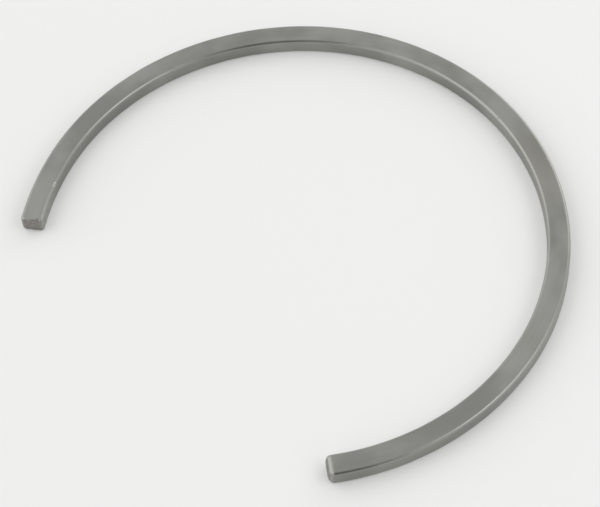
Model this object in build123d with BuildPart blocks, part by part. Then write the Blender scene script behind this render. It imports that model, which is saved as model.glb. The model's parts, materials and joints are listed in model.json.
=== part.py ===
"""Open locating ring, coiled from flat steel wire.

The ring snaps round a groove and stands proud of it, so that its flat faces
stop the part from moving along its axis. It is one piece of drawn wire of
rounded rectangular section, coiled on edge to a little over two thirds of a
circle and cropped square at both ends. Tumbling has rounded every edge.

Frame: the origin is the centre of the coiled circle, half way up the wire,
+Z is the ring's axis, and the gap is centred on -Y. Sizes are in millimetres.
"""

import os
from math import cos, radians, sin

from build123d import *

# Driving dimensions
outer_diameter = 72.0  # free size over the coiled circle
wire_width = 3.0  # radial
wire_height = 2.4  # axial
gap_angle = 102.4  # between the two cropped ends, at the ring's centre
edge_radius = 0.45  # along the four long edges and round both ends

# The crop rolls the corners of both ends over, most of all the outer corner of
# the end where the coil starts.
start_outer_radius = 0.95
lead_outer_radius = 0.6
end_inner_radius = 0.6

# The coiling rolls let go of the last stretch of wire early, so it opens out
# to a larger radius before the crop.
lead_angle = 18.0  # length of that stretch, as an angle of the coiled circle
lead_opening = 6.8  # how much larger its radius is

# Values that follow
outer_radius = outer_diameter / 2
inner_radius = outer_radius - wire_width
mean_radius = outer_radius - wire_width / 2
coil_start = -90 + gap_angle / 2
lead_start = 270 - gap_angle / 2 - lead_angle
coil_sweep = lead_start - coil_start

# Both arcs share a tangent where they meet, so the second centre lies on the
# line from the meeting point through the first. The wire keeps its length.
lead_centre = (
    -lead_opening * cos(radians(lead_start)),
    -lead_opening * sin(radians(lead_start)),
)
lead_sweep = lead_angle * mean_radius / (mean_radius + lead_opening)


def side_of_wire(radius):
    """The two tangent arcs that one side of the wire follows, at a radius of the coil."""
    coil = CenterArc((0, 0), radius, coil_start, coil_sweep)
    lead = CenterArc(lead_centre, radius + lead_opening, lead_start, lead_sweep)
    return coil, lead


with BuildPart() as locating_ring:
    with BuildSketch(Plane.XY.offset(-wire_height / 2)) as plan:
        with BuildLine():
            outer_coil, outer_lead = side_of_wire(outer_radius)
            inner_coil, inner_lead = side_of_wire(inner_radius)
            Line(outer_coil @ 0, inner_coil @ 0)
            Line(outer_lead @ 1, inner_lead @ 1)
        make_face()
        rolled_corners = [
            (outer_coil @ 0, start_outer_radius),
            (outer_lead @ 1, lead_outer_radius),
            (inner_coil @ 0, end_inner_radius),
            (inner_lead @ 1, end_inner_radius),
        ]
        for corner, radius in rolled_corners:
            fillet(plan.vertices().sort_by_distance(corner)[0], radius)
    extrude(amount=wire_height)
    flat_faces = locating_ring.faces().filter_by(Axis.Z)
    fillet(flat_faces.edges(), edge_radius)

locating_ring.part.label = "locating_ring"

os.makedirs("parts", exist_ok=True)
export_step(locating_ring.part, "parts/locating_ring.step")

wire_length = mean_radius * radians(360 - gap_angle)
print("wire length", round(wire_length, 1), "volume", round(locating_ring.part.volume, 1))
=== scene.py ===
# %% [markdown]
# # An open locating ring in tumbled spring steel
#
# The part is one piece of flat steel wire, coiled on edge to a little over two thirds
# of a circle and cropped at both ends. It snaps round a groove and stops whatever sits
# beside it from moving along the axis. There is so little to it that everything rests
# on three things: the true section of the wire, the way its ends were cut, and a steel
# surface that is neither polished nor painted.
#
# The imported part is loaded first, as a fixed frame that gives every size and place.

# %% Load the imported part
import json
import math

import bmesh
import bpy
from mathutils import Matrix, Vector


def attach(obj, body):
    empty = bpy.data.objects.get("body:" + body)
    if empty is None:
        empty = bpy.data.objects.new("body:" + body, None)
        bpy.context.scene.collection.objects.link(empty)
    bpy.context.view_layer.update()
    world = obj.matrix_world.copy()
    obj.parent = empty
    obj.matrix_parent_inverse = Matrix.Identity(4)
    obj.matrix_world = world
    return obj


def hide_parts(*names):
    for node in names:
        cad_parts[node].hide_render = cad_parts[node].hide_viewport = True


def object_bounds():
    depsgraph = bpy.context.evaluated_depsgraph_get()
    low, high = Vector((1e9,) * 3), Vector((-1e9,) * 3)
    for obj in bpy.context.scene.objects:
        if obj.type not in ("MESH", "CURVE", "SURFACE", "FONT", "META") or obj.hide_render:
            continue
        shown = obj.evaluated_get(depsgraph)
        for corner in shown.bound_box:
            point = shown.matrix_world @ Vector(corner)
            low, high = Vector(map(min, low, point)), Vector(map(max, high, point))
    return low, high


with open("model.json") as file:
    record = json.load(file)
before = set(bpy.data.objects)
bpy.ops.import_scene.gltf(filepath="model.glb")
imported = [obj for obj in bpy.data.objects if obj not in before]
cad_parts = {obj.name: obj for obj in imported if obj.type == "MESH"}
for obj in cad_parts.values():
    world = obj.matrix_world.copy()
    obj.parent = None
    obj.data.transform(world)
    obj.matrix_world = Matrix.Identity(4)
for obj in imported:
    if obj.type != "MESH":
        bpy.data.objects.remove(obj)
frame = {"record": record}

MM = 0.001

cad_low, cad_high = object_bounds()
print("packed part, mm:", [round(side / MM, 2) for side in cad_high - cad_low])

# %% [markdown]
# ## Sizes
#
# The coil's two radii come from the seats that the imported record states, and the wire's
# height from the part's own box. The rest is what the coiling machine and the crop left
# behind: a gap of a little over a quarter of a circle, and a last stretch of wire that
# springs open to a larger radius because the rolls let go of it early. The crop rolls
# each end over, most of all on the outer side of the ring.

# %% Sizes of the wire, the coil and the ends
seats = {mount["name"]: mount["dims"] for mount in frame["record"]["mounts"]}
outer_radius = seats["outer_seat"]["r_mm"] * MM
inner_radius = seats["inner_seat"]["r_mm"] * MM
mean_radius = (outer_radius + inner_radius) / 2
wire_width = outer_radius - inner_radius
wire_height = cad_high.z - cad_low.z
edge_radius = 0.45 * MM

gap_angle = math.radians(102.4)
lead_angle = math.radians(18)
lead_opening = 6.8 * MM

start_outer_radius = 0.95 * MM
start_top_radius = 1.0 * MM
lead_outer_radius = 0.6 * MM
lead_top_radius = 0.5 * MM
end_inner_radius = 0.6 * MM
end_bottom_radius = 0.5 * MM
end_reach = max(start_outer_radius, start_top_radius, end_inner_radius, end_bottom_radius)

print("wire, mm:", round(wire_width / MM, 2), "by", round(wire_height / MM, 2))

# %% [markdown]
# ## Camera
#
# A ring lying flat is seen best from well above, with a long lens so that its circle
# stays close to an ellipse. The camera is placed by where it looks and from what side,
# height and distance, and is then rolled a little about its own axis.

# %% Place the camera
camera_azimuth = math.radians(48.435)
camera_elevation = math.radians(55.087)
camera_distance = 273.31 * MM
camera_roll = math.radians(-4.886)
camera_target = Vector((2.14 * MM, -0.92 * MM, -0.05 * MM))


def towards(azimuth, elevation):
    """A direction seen from the ring, where azimuth 0 is the side of the gap, at -Y."""
    flat = math.cos(elevation)
    return Vector((math.sin(azimuth) * flat, -math.cos(azimuth) * flat, math.sin(elevation)))


to_camera = towards(camera_azimuth, camera_elevation)
camera_data = bpy.data.cameras.new("camera")
camera_data.sensor_width = 36
camera_data.lens = 126
camera_data.clip_start = 0.01
camera = bpy.data.objects.new("camera", camera_data)
bpy.context.collection.objects.link(camera)
upright = (-to_camera).to_track_quat("-Z", "Y").to_matrix().to_4x4()
camera.matrix_world = (
    Matrix.Translation(camera_target + to_camera * camera_distance)
    @ upright
    @ Matrix.Rotation(camera_roll, 4, "Z")
)
bpy.context.scene.camera = camera

# %% [markdown]
# ## Two small helpers for materials
#
# Colours are written as sRGB hex values, as in any paint program, but shaders work in
# linear light, so one function converts them. A second one adds a node, gives it its
# settings and plugs in its inputs, which keeps each material as short as its idea.

# %% Colour and node helpers


def linear(hex_colour):
    """An sRGB hex colour as linear RGBA."""
    channels = [int(hex_colour[i : i + 2], 16) / 255 for i in (1, 3, 5)]
    return [c / 12.92 if c <= 0.04045 else ((c + 0.055) / 1.055) ** 2.4 for c in channels] + [1]


def add_node(tree, kind, inputs=None, **settings):
    """A new node with its settings, and inputs that are values or other nodes' outputs."""
    node = tree.nodes.new(kind)
    for name, value in settings.items():
        setattr(node, name, value)
    for name, value in (inputs or {}).items():
        if isinstance(value, bpy.types.NodeSocket):
            tree.links.new(value, node.inputs[name])
        else:
            node.inputs[name].default_value = value
    return node


# %% [markdown]
# ## Floor
#
# The ring lies on the white table of a light tent, large enough that its edges are never
# seen. Such a table is matt, translucent acrylic, and some light comes up through it. It
# needs little more than a colour, and a faint glow that keeps the shadows round the ring
# as thin as they are on a real one.

# %% Lay the floor
table_glow = 0.15
floor_size = 4

table = bpy.data.materials.new("translucent_white_acrylic")
table.use_nodes = True
table_shader = table.node_tree.nodes["Principled BSDF"]
table_shader.inputs["Base Color"].default_value = linear("#e5e5e4")
table_shader.inputs["Roughness"].default_value = 0.9
table_shader.inputs["Specular IOR Level"].default_value = 0.2
table_shader.inputs["Emission Color"].default_value = linear("#ffffff")
table_shader.inputs["Emission Strength"].default_value = table_glow

bpy.ops.object.select_all(action="DESELECT")
bpy.ops.mesh.primitive_plane_add(size=floor_size, location=(0, 0, cad_low.z))
floor = bpy.context.object
floor.name = "floor"
bpy.ops.object.transform_apply(location=True)
floor.data.materials.append(table)

# %% [markdown]
# ## Light
#
# Satin steel looks like whatever surrounds it, so the surroundings matter more than any
# lamp. Small hardware is usually lit in a white tent. Here its left wall is the
# brightest thing in it, the right wall, the roof and the back are dimmer, and the open
# side, where the camera stands, is dark. The dark side is what draws the dark lines
# along some of the rounded edges, and the walls draw the bright ones.
#
# The tent could be built from panels, but a world that is brighter in some directions
# than in others gives the same light without noise. Two directions are enough: how far
# something is to the side, and how far in front. The helpers below add their nodes to
# whichever node tree is being built, which is called tree, so the steel can use them too.

# %% A light tent as a world
right_wall = 0.8
left_wall = 1.02
roof_and_back = 0.78
open_side = 0.18

tent = bpy.data.worlds.new("light_tent")
tent.use_nodes = True
tree = tent.node_tree
background = tree.nodes["Background"]
direction = add_node(tree, "ShaderNodeTexCoord").outputs["Generated"]


def ramp(value, low, high, at_low=0.0, at_high=1.0):
    """A smooth change from one brightness to another as a value goes from low to high."""
    inputs = {"Value": value, "From Min": low, "From Max": high, "To Min": at_low, "To Max": at_high}
    node = add_node(tree, "ShaderNodeMapRange", inputs, interpolation_type="SMOOTHSTEP")
    return node.outputs["Result"]


def part_along(axis):
    """How much of the direction points along an axis, from -1 to 1."""
    node = add_node(tree, "ShaderNodeVectorMath", {0: direction, 1: axis}, operation="DOT_PRODUCT")
    return node.outputs["Value"]


def combine(operation, first, second):
    """Two numbers combined by a Math node."""
    return add_node(tree, "ShaderNodeMath", {0: first, 1: second}, operation=operation).outputs[0]


sideways = part_along(towards(camera_azimuth + math.pi / 2, 0))
forwards = part_along(towards(camera_azimuth, 0))

walls = combine(
    "ADD",
    ramp(sideways, 0.26, 0.49, 0, right_wall),
    ramp(sideways, -0.49, -0.26, left_wall, 0),
)
middle = ramp(forwards, -0.05, 0.5, roof_and_back, open_side)
between_walls = ramp(combine("ABSOLUTE", sideways, 0), 0.26, 0.49, 1, 0)
brightness = combine("ADD", walls, combine("MULTIPLY", between_walls, middle))
tree.links.new(brightness, background.inputs["Strength"])
background.inputs["Color"].default_value = linear("#ffffff")
bpy.context.scene.world = tent
bpy.context.scene.view_settings.view_transform = "Standard"

# %% [markdown]
# ## Soft boxes
#
# Three soft boxes stand close by: a small one on the right, one low down behind, towards
# the right, and a large one on the left. A near lamp lights what is close to it more than what is not, so
# the steel and the table change a little from one side of the ring to the other.

# %% Soft boxes


def soft_box(name, azimuth, elevation, distance, width, height, power):
    """A lamp that faces the ring: angles in degrees, distance and sides in metres, power in watts."""
    lamp = bpy.data.lights.new(name, "AREA")
    lamp.shape = "RECTANGLE"
    lamp.size, lamp.size_y = width, height
    lamp.energy = power
    holder = bpy.data.objects.new(name, lamp)
    to_lamp = towards(math.radians(azimuth), math.radians(elevation))
    holder.location = to_lamp * distance
    holder.rotation_euler = (-to_lamp).to_track_quat("-Z", "Y").to_euler()
    bpy.context.collection.objects.link(holder)


soft_box("right_box", 120, 45, 0.4, 0.2, 0.2, 0.17)
soft_box("back_box", 185, 18, 0.4, 0.25, 0.25, 0.2)
soft_box("left_box", 305, 35, 0.45, 0.55, 0.55, 0.36)

# %% [markdown]
# ## The ring: section of the wire
#
# The real wire starts round and is rolled between four rolls to a flat section with
# rounded edges. A ring like this could be cut from a torus or swept along a curve, but
# it is clearest to draw that section once and let a modifier carry it round, as the
# coiling machine does. The section is a plane standing upright on the X axis, with its
# four corners beveled. Its face is then deleted, which leaves one closed outline, and
# the flat sides are divided so that all parts of the outline have about the same grain.

# %% Draw the section
slice_length = 0.18 * MM
corner_segments = 8
flat_spacing = 0.25 * MM
length_tolerance = 0.01 * MM
place_tolerance = 0.001 * MM


def pick(kind, passes):
    """In edit mode, selects the ring's "verts" or "edges" that pass a test, and counts them."""
    bpy.ops.mesh.select_mode(type={"verts": "VERT", "edges": "EDGE"}[kind])
    bpy.ops.mesh.select_all(action="DESELECT")
    mesh = bmesh.from_edit_mesh(ring.data)
    found = [part for part in getattr(mesh, kind) if passes(part)]
    for part in found:
        part.select_set(True)
    mesh.select_flush(True)
    bmesh.update_edit_mesh(ring.data)
    return len(found)


bpy.ops.object.select_all(action="DESELECT")
bpy.ops.mesh.primitive_plane_add(
    size=1, location=(mean_radius, 0, 0), rotation=(math.pi / 2, 0, 0)
)
ring = bpy.context.object
ring.name = "coiled_wire"
ring.scale = (wire_width, wire_height, 1)
bpy.ops.object.transform_apply(location=True, rotation=True, scale=True)

bpy.ops.object.mode_set(mode="EDIT")
bpy.ops.mesh.select_all(action="SELECT")
bpy.ops.mesh.bevel(offset=edge_radius, segments=corner_segments, affect="VERTICES")
bpy.ops.mesh.delete(type="ONLY_FACE")
for side in (wire_width, wire_height):
    flat = side - 2 * edge_radius
    pick("edges", lambda edge: abs(edge.calc_length() - flat) < length_tolerance)
    bpy.ops.mesh.subdivide(number_cuts=round(flat / flat_spacing) - 1)
bpy.ops.object.mode_set(mode="OBJECT")
print("section:", len(ring.data.vertices), "points")

# %% [markdown]
# ## The ring: coiling
#
# A Screw modifier with no lift turns the outline round the Z axis, in slices short
# enough that the circle has no visible corners. The section starts where the rounding
# of the first end stops, so the arc is shorter than the coil by that reach. The slack
# last stretch is a second, larger arc that leaves the first one along its tangent: its
# centre lies on the line from the meeting point through the centre of the coil. The
# Spin operator makes it from the open end of the coil.

# %% Coil the wire
coil_start = -math.pi / 2 + gap_angle / 2
coil_sweep = 2 * math.pi - gap_angle - lead_angle - end_reach / mean_radius
lead_radius = mean_radius + lead_opening
lead_sweep = (lead_angle * mean_radius - end_reach) / lead_radius
lead_centre = Vector(
    (-lead_opening * math.cos(coil_sweep), -lead_opening * math.sin(coil_sweep), 0)
)

coil = ring.modifiers.new("coil", "SCREW")
coil.axis = "Z"
coil.angle = coil_sweep
coil.screw_offset = 0
coil.steps = round(coil_sweep * mean_radius / slice_length)
coil.render_steps = coil.steps
bpy.ops.object.modifier_apply(modifier=coil.name)

across_coil_end = Vector((-math.sin(coil_sweep), math.cos(coil_sweep), 0))
bpy.ops.object.mode_set(mode="EDIT")
found = pick("verts", lambda v: abs(v.co.dot(across_coil_end)) < place_tolerance and v.co.x < 0)
bpy.ops.mesh.spin(
    steps=round(lead_sweep * lead_radius / slice_length),
    angle=-lead_sweep,
    center=lead_centre,
    axis=(0, 0, 1),
)
print("open end of the coil:", found, "points")

# %% [markdown]
# ## The ring: cropped ends
#
# The crop shears the wire off square and drags its edges over, and tumbling rounds what
# is left. Each end is drawn out from the open outline: it is extruded forwards in steps
# and scaled down at each step, so that every side follows its own quarter circle until
# it meets the end plane. Then the outline is extruded in place and scaled towards its
# middle, and the last one is merged to a point, which closes the end with a fine mesh.
#
# Scaling along X and Z is only right for an end that lies across the X axis, so the
# whole ring is turned until the far end does, and turned back afterwards. Without a
# window, the rotate operator turns clockwise for a positive angle.

# %% Shape both ends
rounding_steps = 10
closing_steps = 9
merge_distance = 0.0005 * MM


def turn(angle, centre):
    """Turns the whole ring about a centre, anticlockwise seen from above."""
    bpy.ops.mesh.select_all(action="SELECT")
    bpy.ops.transform.rotate(value=-angle, orient_axis="Z", center_override=centre)


def drawn_in(radius, depth):
    """How far a side with this end radius has come in, at a depth behind the end plane."""
    return radius - math.sqrt(radius**2 - max(radius - depth, 0) ** 2)


def shape_end(x, y, way, outer_radius, top_radius):
    """Rounds off and closes the open end across X at (x, y), drawing it out along way * Y."""
    pick("verts", lambda v: abs(v.co.y - y) < place_tolerance and v.co.x > 0)
    centre, width, height = Vector((x, y, 0)), wire_width, wire_height
    for step in range(1, rounding_steps + 1):
        depth = end_reach * (1 - math.sin(step / rounding_steps * math.pi / 2))
        outer, inner, top, bottom = (
            drawn_in(radius, depth)
            for radius in (outer_radius, end_inner_radius, top_radius, end_bottom_radius)
        )
        new_centre = Vector(
            (x + (inner - outer) / 2, y + way * (end_reach - depth), (bottom - top) / 2)
        )
        new_width = wire_width - outer - inner
        new_height = wire_height - top - bottom
        bpy.ops.mesh.extrude_region_move(
            TRANSFORM_OT_translate={"value": new_centre - centre}
        )
        bpy.ops.transform.resize(
            value=(new_width / width, 1, new_height / height), center_override=new_centre
        )
        centre, width, height = new_centre, new_width, new_height
    for step in range(1, closing_steps):
        shrink = (closing_steps - step) / (closing_steps - step + 1)
        bpy.ops.mesh.extrude_region_move()
        bpy.ops.transform.resize(value=(shrink, 1, shrink), center_override=centre)
    bpy.ops.mesh.extrude_region_move()
    bpy.ops.mesh.merge(type="CENTER")


shape_end(mean_radius, 0, -1, start_outer_radius, start_top_radius)
turn(-(coil_sweep + lead_sweep), lead_centre)
shape_end(lead_centre.x + lead_radius, lead_centre.y, 1, lead_outer_radius, lead_top_radius)
turn(coil_sweep + lead_sweep, lead_centre)
turn(coil_start + end_reach / mean_radius, (0, 0, 0))

bpy.ops.mesh.select_all(action="SELECT")
bpy.ops.mesh.remove_doubles(threshold=merge_distance)
bpy.ops.mesh.normals_make_consistent(inside=False)
print("ring:", len(ring.data.vertices), "points,", len(ring.data.polygons), "faces")

# %% [markdown]
# ## The ring: marks of the shear and the drum
#
# No cropped wire has perfect ends. Where the blade broke through last it leaves a small
# burr, which tumbling folds down, and the parts in the drum knock a few nicks into each
# other's edges. Each mark is made as by hand: one point is picked and moved a little,
# with proportional editing, so that its surroundings follow it and fade out. A mark's
# place is given by its angle round the ring, counted from the X axis, its distance from
# the axis and its height.

# %% Tap in the marks


def tap(angle, radius, height, move, size):
    """Moves the point nearest to a place, and softly all within size of it. Lengths are in mm."""
    angle = math.radians(angle)
    outwards = Vector((math.cos(angle), math.sin(angle), 0))
    onwards = Vector((-math.sin(angle), math.cos(angle), 0))
    place = outwards * radius * MM + Vector((0, 0, height * MM))
    mesh = bmesh.from_edit_mesh(ring.data)
    nearest = min(mesh.verts, key=lambda v: (v.co - place).length_squared)
    index = nearest.index
    pick("verts", lambda v: v.index == index)
    shift = outwards * move[0] + onwards * move[1] + Vector((0, 0, move[2]))
    bpy.ops.transform.translate(
        value=shift * MM,
        use_proportional_edit=True,
        proportional_edit_falloff="SMOOTH",
        proportional_size=size * MM,
    )


upper_face = wire_height / 2 / MM

# The lead end: a folded burr, the hollow beside it, and a lip at its outer corner.
tap(-142.3, 34.35, upper_face, (0, 0, 0.02), 0.35)
tap(-141.6, 33.75, upper_face - 0.1, (0, 0, -0.18), 0.38)
tap(-141.0, 34.5, upper_face - 0.35, (0, -0.1, -0.05), 0.4)
tap(-142.4, 35.9, upper_face - 0.3, (0.04, 0, 0), 0.5)
# Nicks along the edges, and a rolled-in speck on the upper face.
tap(-152.0, 33.05, upper_face, (0.09, 0, -0.09), 0.4)
tap(63.0, 35.6, upper_face, (-0.05, 0, -0.05), 0.45)
tap(142.4, 34.9, upper_face, (0, 0, -0.09), 0.3)
tap(155.4, 33.0, 0.1, (0.07, 0, 0), 0.3)

# %% [markdown]
# ## The ring: unevenness
#
# Two Displace modifiers with cloud textures give the last, finest shape. The first is the
# soft unevenness that the drum leaves all over, a few hundredths of a millimetre deep
# and a few millimetres across, which makes reflections on the edges waver. The second is
# the torn grain of the shear, far rougher but only on the two end faces, which a vertex
# group marks by how much a point's normal runs along the wire. Both push mostly inwards,
# so the ring stays within its size.

# %% Make it uneven
bpy.ops.object.mode_set(mode="OBJECT")

# Where a normal starts to count as facing along the wire, as on a torn end.
end_face_from = 0.6


def along_and_across(point):
    """How much of a point's normal runs along the wire, and how much straight out from the axis."""
    outwards = Vector((point.co.x, point.co.y, 0)).normalized()
    return abs(point.normal.cross(outwards).z), abs(point.normal.dot(outwards))


def torn_share(lengthwise):
    """From 0 to 1, how far a surface belongs to a torn end face."""
    return max(0, (lengthwise - end_face_from) / (1 - end_face_from))


def uneven(name, grain, depth, group=""):
    """Displaces the ring by clouds of this grain and depth, in mm, by a vertex group's weight."""
    clouds = bpy.data.textures.new(name, "CLOUDS")
    clouds.noise_scale = grain * MM
    clouds.noise_depth = 2
    change = ring.modifiers.new(name, "DISPLACE")
    change.texture = clouds
    change.texture_coords = "LOCAL"
    change.strength = depth * MM
    change.mid_level = 0.9
    change.vertex_group = group
    bpy.ops.object.modifier_apply(modifier=change.name)


torn = ring.vertex_groups.new(name="torn")
for point in ring.data.vertices:
    share = torn_share(along_and_across(point)[0])
    if share > 0:
        torn.add([point.index], share, "REPLACE")
uneven("drum_unevenness", 2.4, 0.035)
uneven("torn_grain", 0.32, 0.14, "torn")
bpy.ops.object.shade_smooth()

# %% [markdown]
# ## Steel
#
# The wire is hard-drawn spring steel. It was rolled flat, which leaves shallow streaks
# along it, then tumbled in a drum of stones, which wears it to a satin grey with tiny
# dimples and takes most off the rounded edges, and then oiled, which leaves clouds a
# little darker or warmer than the rest. None of that is strong. The metal itself is one
# neutral, slightly olive grey.
#
# Streaks follow the wire, so they need coordinates that do too. Object coordinates give
# the angle round the coil, and the angle times the coil's radius is the length along the
# wire. With the distance from the axis and the height it makes three lengths in metres,
# so every pattern below is sized in millimetres. The angle jumps from one side to the
# other where Y is negative, which is inside the gap, so the jump never shows.

# %% Steel: coordinates that follow the wire
steel = bpy.data.materials.new("tumbled_spring_steel")
steel.use_nodes = True
tree = steel.node_tree
shader = tree.nodes["Principled BSDF"]
place = add_node(tree, "ShaderNodeTexCoord").outputs["Object"]
split = add_node(tree, "ShaderNodeSeparateXYZ", {0: place})
flat_place = add_node(tree, "ShaderNodeVectorMath", {0: place, 1: (1, 1, 0)}, operation="MULTIPLY")
from_axis = add_node(tree, "ShaderNodeVectorMath", {0: flat_place.outputs[0]}, operation="LENGTH")
angle = combine("ARCTAN2", split.outputs["X"], split.outputs["Y"])
along = combine("MULTIPLY", angle, mean_radius)
wire_place = add_node(
    tree,
    "ShaderNodeCombineXYZ",
    {"X": along, "Y": from_axis.outputs["Value"], "Z": split.outputs["Z"]},
).outputs[0]


def pattern(length, width, detail=2.0, roughness=0.5, spot=(0, 0, 0)):
    """Noise from 0 to 1, its blotches this long along the wire and this wide across it, in mm."""
    sizes = (1 / (length * MM), 1 / (width * MM), 1 / (width * MM))
    moved = add_node(tree, "ShaderNodeMapping", {"Vector": wire_place, "Scale": sizes, "Location": spot})
    inputs = {"Vector": moved.outputs[0], "Scale": 1, "Detail": detail, "Roughness": roughness}
    return add_node(tree, "ShaderNodeTexNoise", inputs).outputs["Fac"]


def mixed(factor, first, second):
    """A colour between two colours, given as hex values or sockets."""
    colours = [linear(c) if isinstance(c, str) else c for c in (first, second)]
    inputs = {0: factor, 6: colours[0], 7: colours[1]}
    return add_node(tree, "ShaderNodeMix", inputs, data_type="RGBA").outputs[2]


# %% [markdown]
# ## Steel: wear
#
# The drum polishes what stands out, which is every rounded edge. A face attribute would
# do, but the rounding is already in the mesh: where a normal points neither straight up,
# straight out from the axis nor straight along the wire, the surface is turning a corner.
# One number per point says how much, and a second one marks the torn end faces, where
# the normal runs along the wire.

# %% Steel: paint the wear and the torn faces
wear_amounts = []
torn_amounts = []
for point in ring.data.vertices:
    lengthwise, across = along_and_across(point)
    middle, most = sorted((abs(point.normal.z), across, lengthwise))[1:]
    wear_amounts.append(min(1, 2 * most * middle))
    torn_amounts.append(torn_share(lengthwise))
for name, amounts in (("wear", wear_amounts), ("torn", torn_amounts)):
    painted = ring.data.attributes.new(name + "_amount", "FLOAT", "POINT")
    painted.data.foreach_set("value", amounts)
    print(name, "points:", sum(amount > 0.5 for amount in amounts))

# %% [markdown]
# ## Steel: colour, gloss and relief
#
# Clouds about 9 mm long and streaks as long but thin shift the grey by a few percent. The
# rounded edges are a little lighter and shinier. Pits are the dark specks that rolling
# presses in: a Voronoi pattern gives each cell of 2.5 mm a random number, and only the
# cells with the highest ones get a pit. The tumbling dimples are 0.4 mm wide, coarser
# than real ones, which would be too fine to show.

# %% Steel: build the shader
clouds = pattern(9, 6, detail=3)
oil = pattern(14, 8, detail=2, spot=(3.1, 7.7, 1.3))
streaks = pattern(9, 0.32, detail=3, roughness=0.6)
dimples = pattern(0.45, 0.4, detail=2)

grey = mixed(ramp(clouds, 0.34, 0.66), "#8e8f8a", "#a1a29d")
grey = mixed(ramp(oil, 0.5, 0.72, 0, 0.5), grey, "#98938e")
grey = mixed(ramp(streaks, 0.36, 0.64, 0, 0.14), grey, "#858580")

worn = add_node(tree, "ShaderNodeAttribute", attribute_name="wear_amount").outputs["Fac"]
grey = mixed(ramp(worn, 0.3, 0.9, 0, 0.6), grey, "#a4a49f")

cells = add_node(
    tree,
    "ShaderNodeTexVoronoi",
    {"Vector": wire_place, "Scale": 1 / (2.5 * MM), "Randomness": 1},
)
chosen = add_node(tree, "ShaderNodeSeparateColor", {0: cells.outputs["Color"]}).outputs[0]
pit_width = ramp(chosen, 0.7, 1.0, 0, 0.07)
pits = combine("LESS_THAN", cells.outputs["Distance"], pit_width)
grey = mixed(combine("MULTIPLY", pits, 0.4), grey, "#504e4a")

torn_face = add_node(tree, "ShaderNodeAttribute", attribute_name="torn_amount").outputs["Fac"]
grain = pattern(0.3, 0.3, detail=3, roughness=0.6)
torn_grey = mixed(ramp(grain, 0.35, 0.65), "#7c7975", "#9e9b96")
grey = mixed(ramp(torn_face, 0.1, 0.7, 0, 0.8), grey, torn_grey)

gloss = ramp(clouds, 0.3, 0.7, 0.36, 0.43)
gloss = combine("SUBTRACT", gloss, ramp(worn, 0.3, 0.9, 0, 0.07))
gloss = combine("ADD", gloss, combine("MULTIPLY", pits, 0.25))
gloss = combine("ADD", gloss, combine("MULTIPLY", torn_face, 0.1))

relief = combine("ADD", combine("MULTIPLY", streaks, 0.3), dimples)
relief = combine("SUBTRACT", relief, combine("MULTIPLY", pits, 0.8))
relief = combine("ADD", relief, combine("MULTIPLY", combine("MULTIPLY", torn_face, grain), 1.5))
bump = add_node(tree, "ShaderNodeBump", {"Height": relief, "Strength": 1, "Distance": 0.008 * MM})

tree.links.new(grey, shader.inputs["Base Color"])
tree.links.new(gloss, shader.inputs["Roughness"])
tree.links.new(bump.outputs[0], shader.inputs["Normal"])
shader.inputs["Metallic"].default_value = 1
ring.data.materials.append(steel)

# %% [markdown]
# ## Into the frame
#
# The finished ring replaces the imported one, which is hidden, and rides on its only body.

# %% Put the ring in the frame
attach(ring, "root")
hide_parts("locating_ring")
